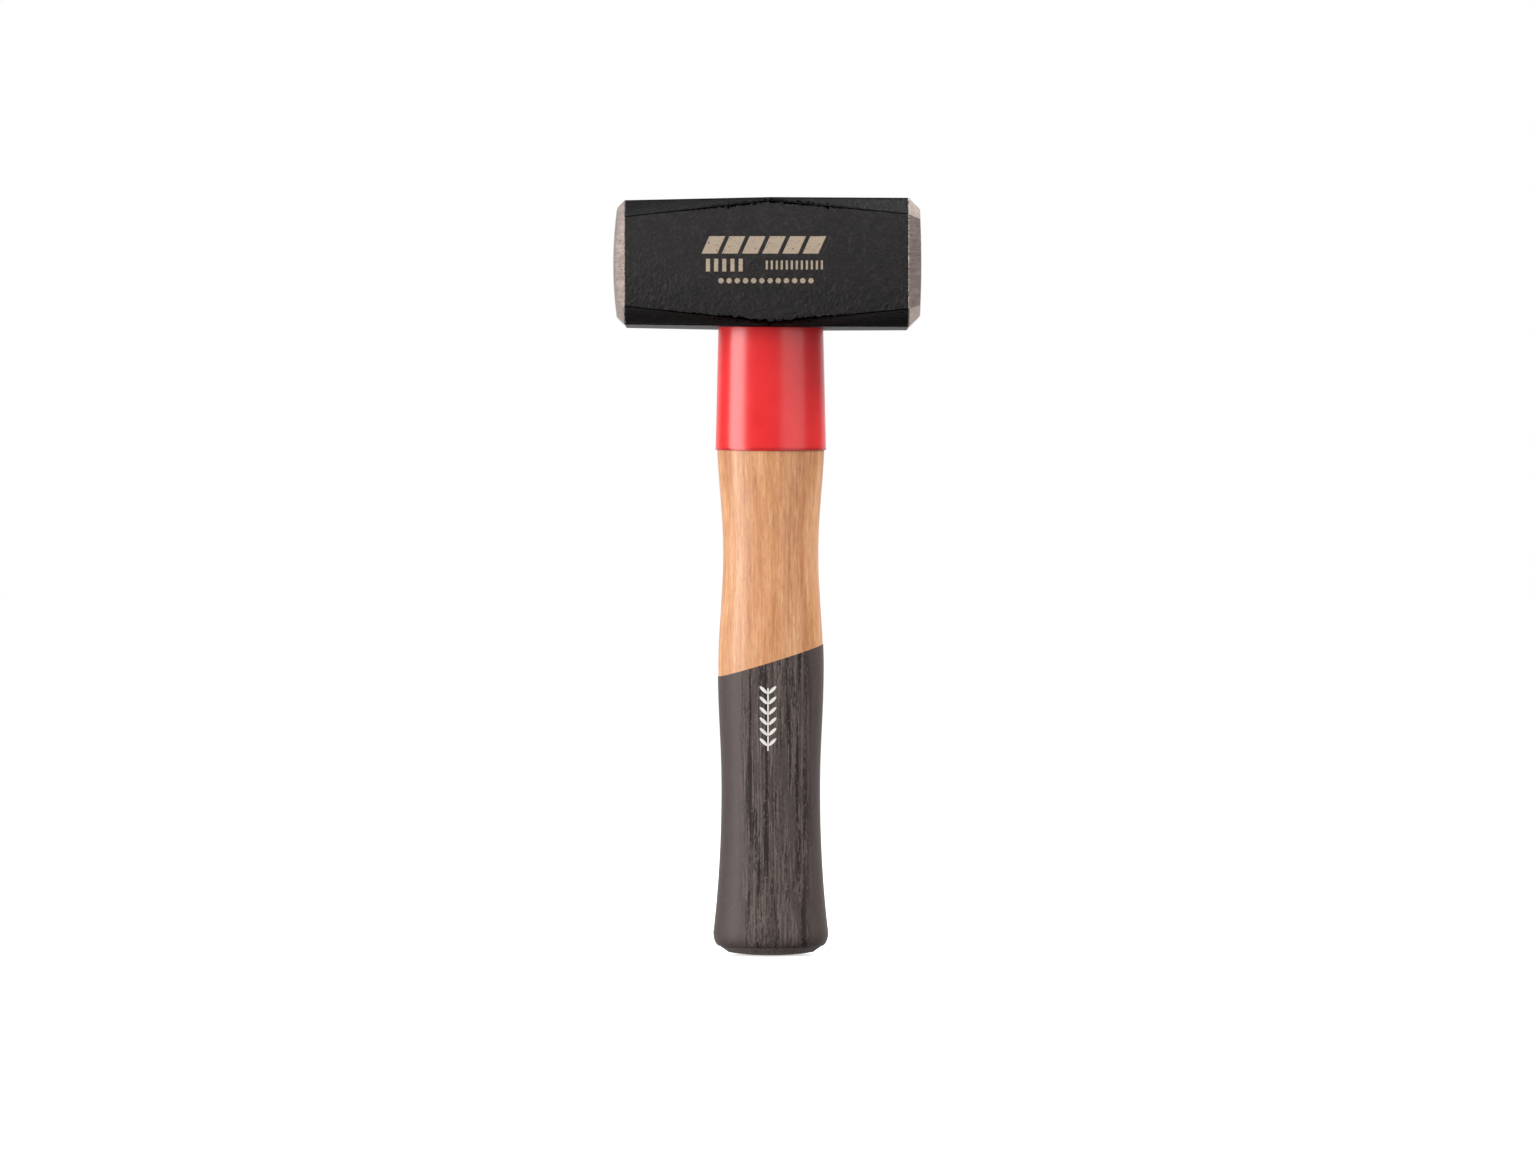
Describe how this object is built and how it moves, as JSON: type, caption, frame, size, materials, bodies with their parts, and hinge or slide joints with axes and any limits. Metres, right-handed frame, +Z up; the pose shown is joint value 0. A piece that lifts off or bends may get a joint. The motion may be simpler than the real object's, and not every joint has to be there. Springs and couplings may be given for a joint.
{
  "type": "sledgehammer",
  "caption": "Short-handled club sledgehammer: a forged square head with crowned faces, a contoured hickory handle, a steel guard sleeve and a dipped lacquer grip.",
  "frame": {"origin": "the lowest point of the butt, on the handle's axis", "axes": "+Z up the handle from the butt to the head, +X along the head to its right striking face, -Y out of the front cheek"},
  "size_m": [0.1216, 0.0506, 0.298],
  "materials": {
    "head_lacquered_steel": "pebbled black lacquer, ground steel faces and bevels",
    "handle_hickory": "clear lacquered",
    "sleeve_red_steel": "gloss paint",
    "grip_grey_lacquer": "satin dipped lacquer",
    "wedge_wood": "sawn end grain",
    "wedge_steel": "bright"
  },
  "bodies": {
    "root": {"head": "head_lacquered_steel", "handle": "handle_hickory", "guard_sleeve": "sleeve_red_steel", "grip_lacquer": "grip_grey_lacquer", "wooden_wedge": "wedge_wood", "ring_wedge": "wedge_steel"}
  },
  "joints": []
}
